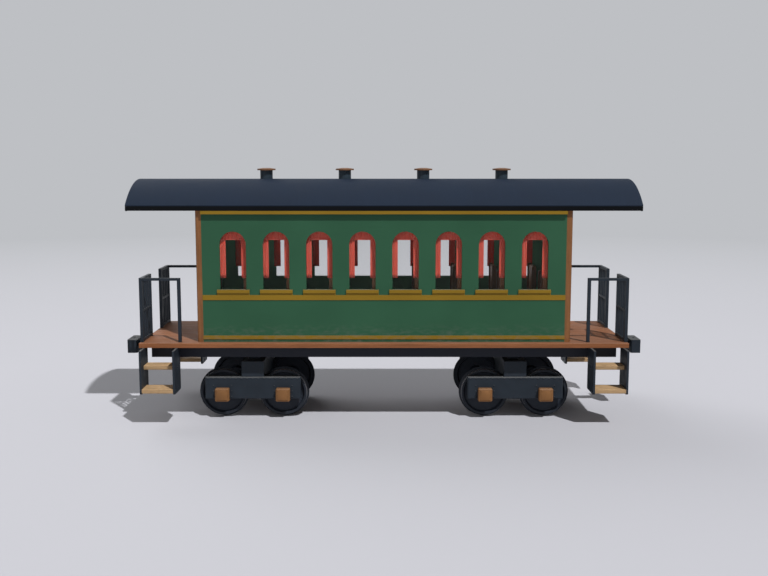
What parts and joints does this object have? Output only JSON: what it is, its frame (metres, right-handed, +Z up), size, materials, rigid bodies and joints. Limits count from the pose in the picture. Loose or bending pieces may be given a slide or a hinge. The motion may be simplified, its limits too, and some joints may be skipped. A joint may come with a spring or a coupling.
{
  "type": "passenger coach",
  "caption": "Open-platform railway passenger coach with arched windows, a barrel roof with ventilators, railed end platforms with steps, hinged end doors, and swivelling bogies.",
  "frame": {"origin": "on the floor (the height of the wheel flanges' lowest point), under the middle of the coach", "axes": "+X towards the front end (the two ends are alike), +Y to the left side, +Z up"},
  "size_m": [9.456, 3.08, 4.436],
  "materials": {
    "underframe_paint": "satin black paint",
    "deck_planks": "oiled planks",
    "body_green": "satin green paint on boards",
    "post_brown": "varnished timber",
    "gold_trim": "ochre-gold paint",
    "window_glass": "clear glass",
    "roof_slate": "satin slate-blue paint",
    "edge_black": "black paint",
    "vent_paint": "satin slate paint",
    "vent_cap_brown": "brown paint",
    "curtain_cloth": "coral-red woven cloth",
    "brass": "polished brass",
    "bench_wood": "dark varnished timber",
    "cushion_leather": "brown buttoned leather",
    "railing_slate": "satin slate-black paint",
    "step_iron": "satin black paint",
    "step_wood": "worn bare planks",
    "coupler_iron": "rough cast iron",
    "door_brown": "varnished timber",
    "bogie_paint": "satin dark grey paint",
    "axle_box_brown": "ochre-brown paint on cast iron",
    "wheel_iron": "dark iron, bright tread",
    "axle_steel": "turned steel"
  },
  "bodies": {
    "coach": {"underframe": "underframe_paint", "deck": "deck_planks", "wall_left": "body_green", "wall_right": "body_green", "bulkhead_front": "body_green", "bulkhead_rear": "body_green", "corner_posts": "post_brown", "mouldings": "gold_trim", "window_sills": "gold_trim", "window_glass": "window_glass", "roof": "roof_slate", "roof_edge": "edge_black", "vent_tubes": "vent_paint", "vent_caps": "vent_cap_brown", "curtain_rails": "brass", "curtains": "curtain_cloth", "bench_frames": "bench_wood", "bench_cushions": "cushion_leather", "railing_front": "railing_slate", "railing_rear": "railing_slate", "side_rails": "railing_slate", "step_plates": "step_iron", "step_treads": "step_wood", "coupler_front": "coupler_iron", "coupler_rear": "coupler_iron", "door_frame_front": "door_brown", "door_frame_rear": "door_brown"},
    "front_door": {"door_front": "door_brown", "door_glass_front": "window_glass"},
    "rear_door": {"door_rear": "door_brown", "door_glass_rear": "window_glass"},
    "front_bogie": {"bogie_frame_front": "bogie_paint", "axle_boxes_front": "axle_box_brown"},
    "rear_bogie": {"bogie_frame_rear": "bogie_paint", "axle_boxes_rear": "axle_box_brown"},
    "wheelset_1": {"wheels_1": "wheel_iron", "axle_1": "axle_steel"},
    "wheelset_2": {"wheels_2": "wheel_iron", "axle_2": "axle_steel"},
    "wheelset_3": {"wheels_3": "wheel_iron", "axle_3": "axle_steel"},
    "wheelset_4": {"wheels_4": "wheel_iron", "axle_4": "axle_steel"}
  },
  "joints": [
    {"name": "front_door_swing", "type": "hinge", "parent": "coach", "child": "front_door", "pos_m": [3.299, 0.354, 2.39], "axis": [0, 0, 1], "range_deg": [0, 100]},
    {"name": "rear_door_swing", "type": "hinge", "parent": "coach", "child": "rear_door", "pos_m": [-3.299, -0.354, 2.39], "axis": [0, 0, 1], "range_deg": [0, 100]},
    {"name": "front_bogie_swivel", "type": "hinge", "parent": "coach", "child": "front_bogie", "pos_m": [2.333, 0, 1.08], "axis": [0, 0, 1], "range_deg": [-8, 8]},
    {"name": "rear_bogie_swivel", "type": "hinge", "parent": "coach", "child": "rear_bogie", "pos_m": [-2.333, 0, 1.08], "axis": [0, 0, 1], "range_deg": [-8, 8]},
    {"name": "wheelset_1_roll", "type": "hinge", "parent": "front_bogie", "child": "wheelset_1", "pos_m": [2.8715, 0, 0.447], "axis": [0, 1, 0], "continuous": true},
    {"name": "wheelset_2_roll", "type": "hinge", "parent": "front_bogie", "child": "wheelset_2", "pos_m": [1.7945, 0, 0.447], "axis": [0, 1, 0], "continuous": true},
    {"name": "wheelset_3_roll", "type": "hinge", "parent": "rear_bogie", "child": "wheelset_3", "pos_m": [-1.7945, 0, 0.447], "axis": [0, 1, 0], "continuous": true},
    {"name": "wheelset_4_roll", "type": "hinge", "parent": "rear_bogie", "child": "wheelset_4", "pos_m": [-2.8715, 0, 0.447], "axis": [0, 1, 0], "continuous": true}
  ]
}
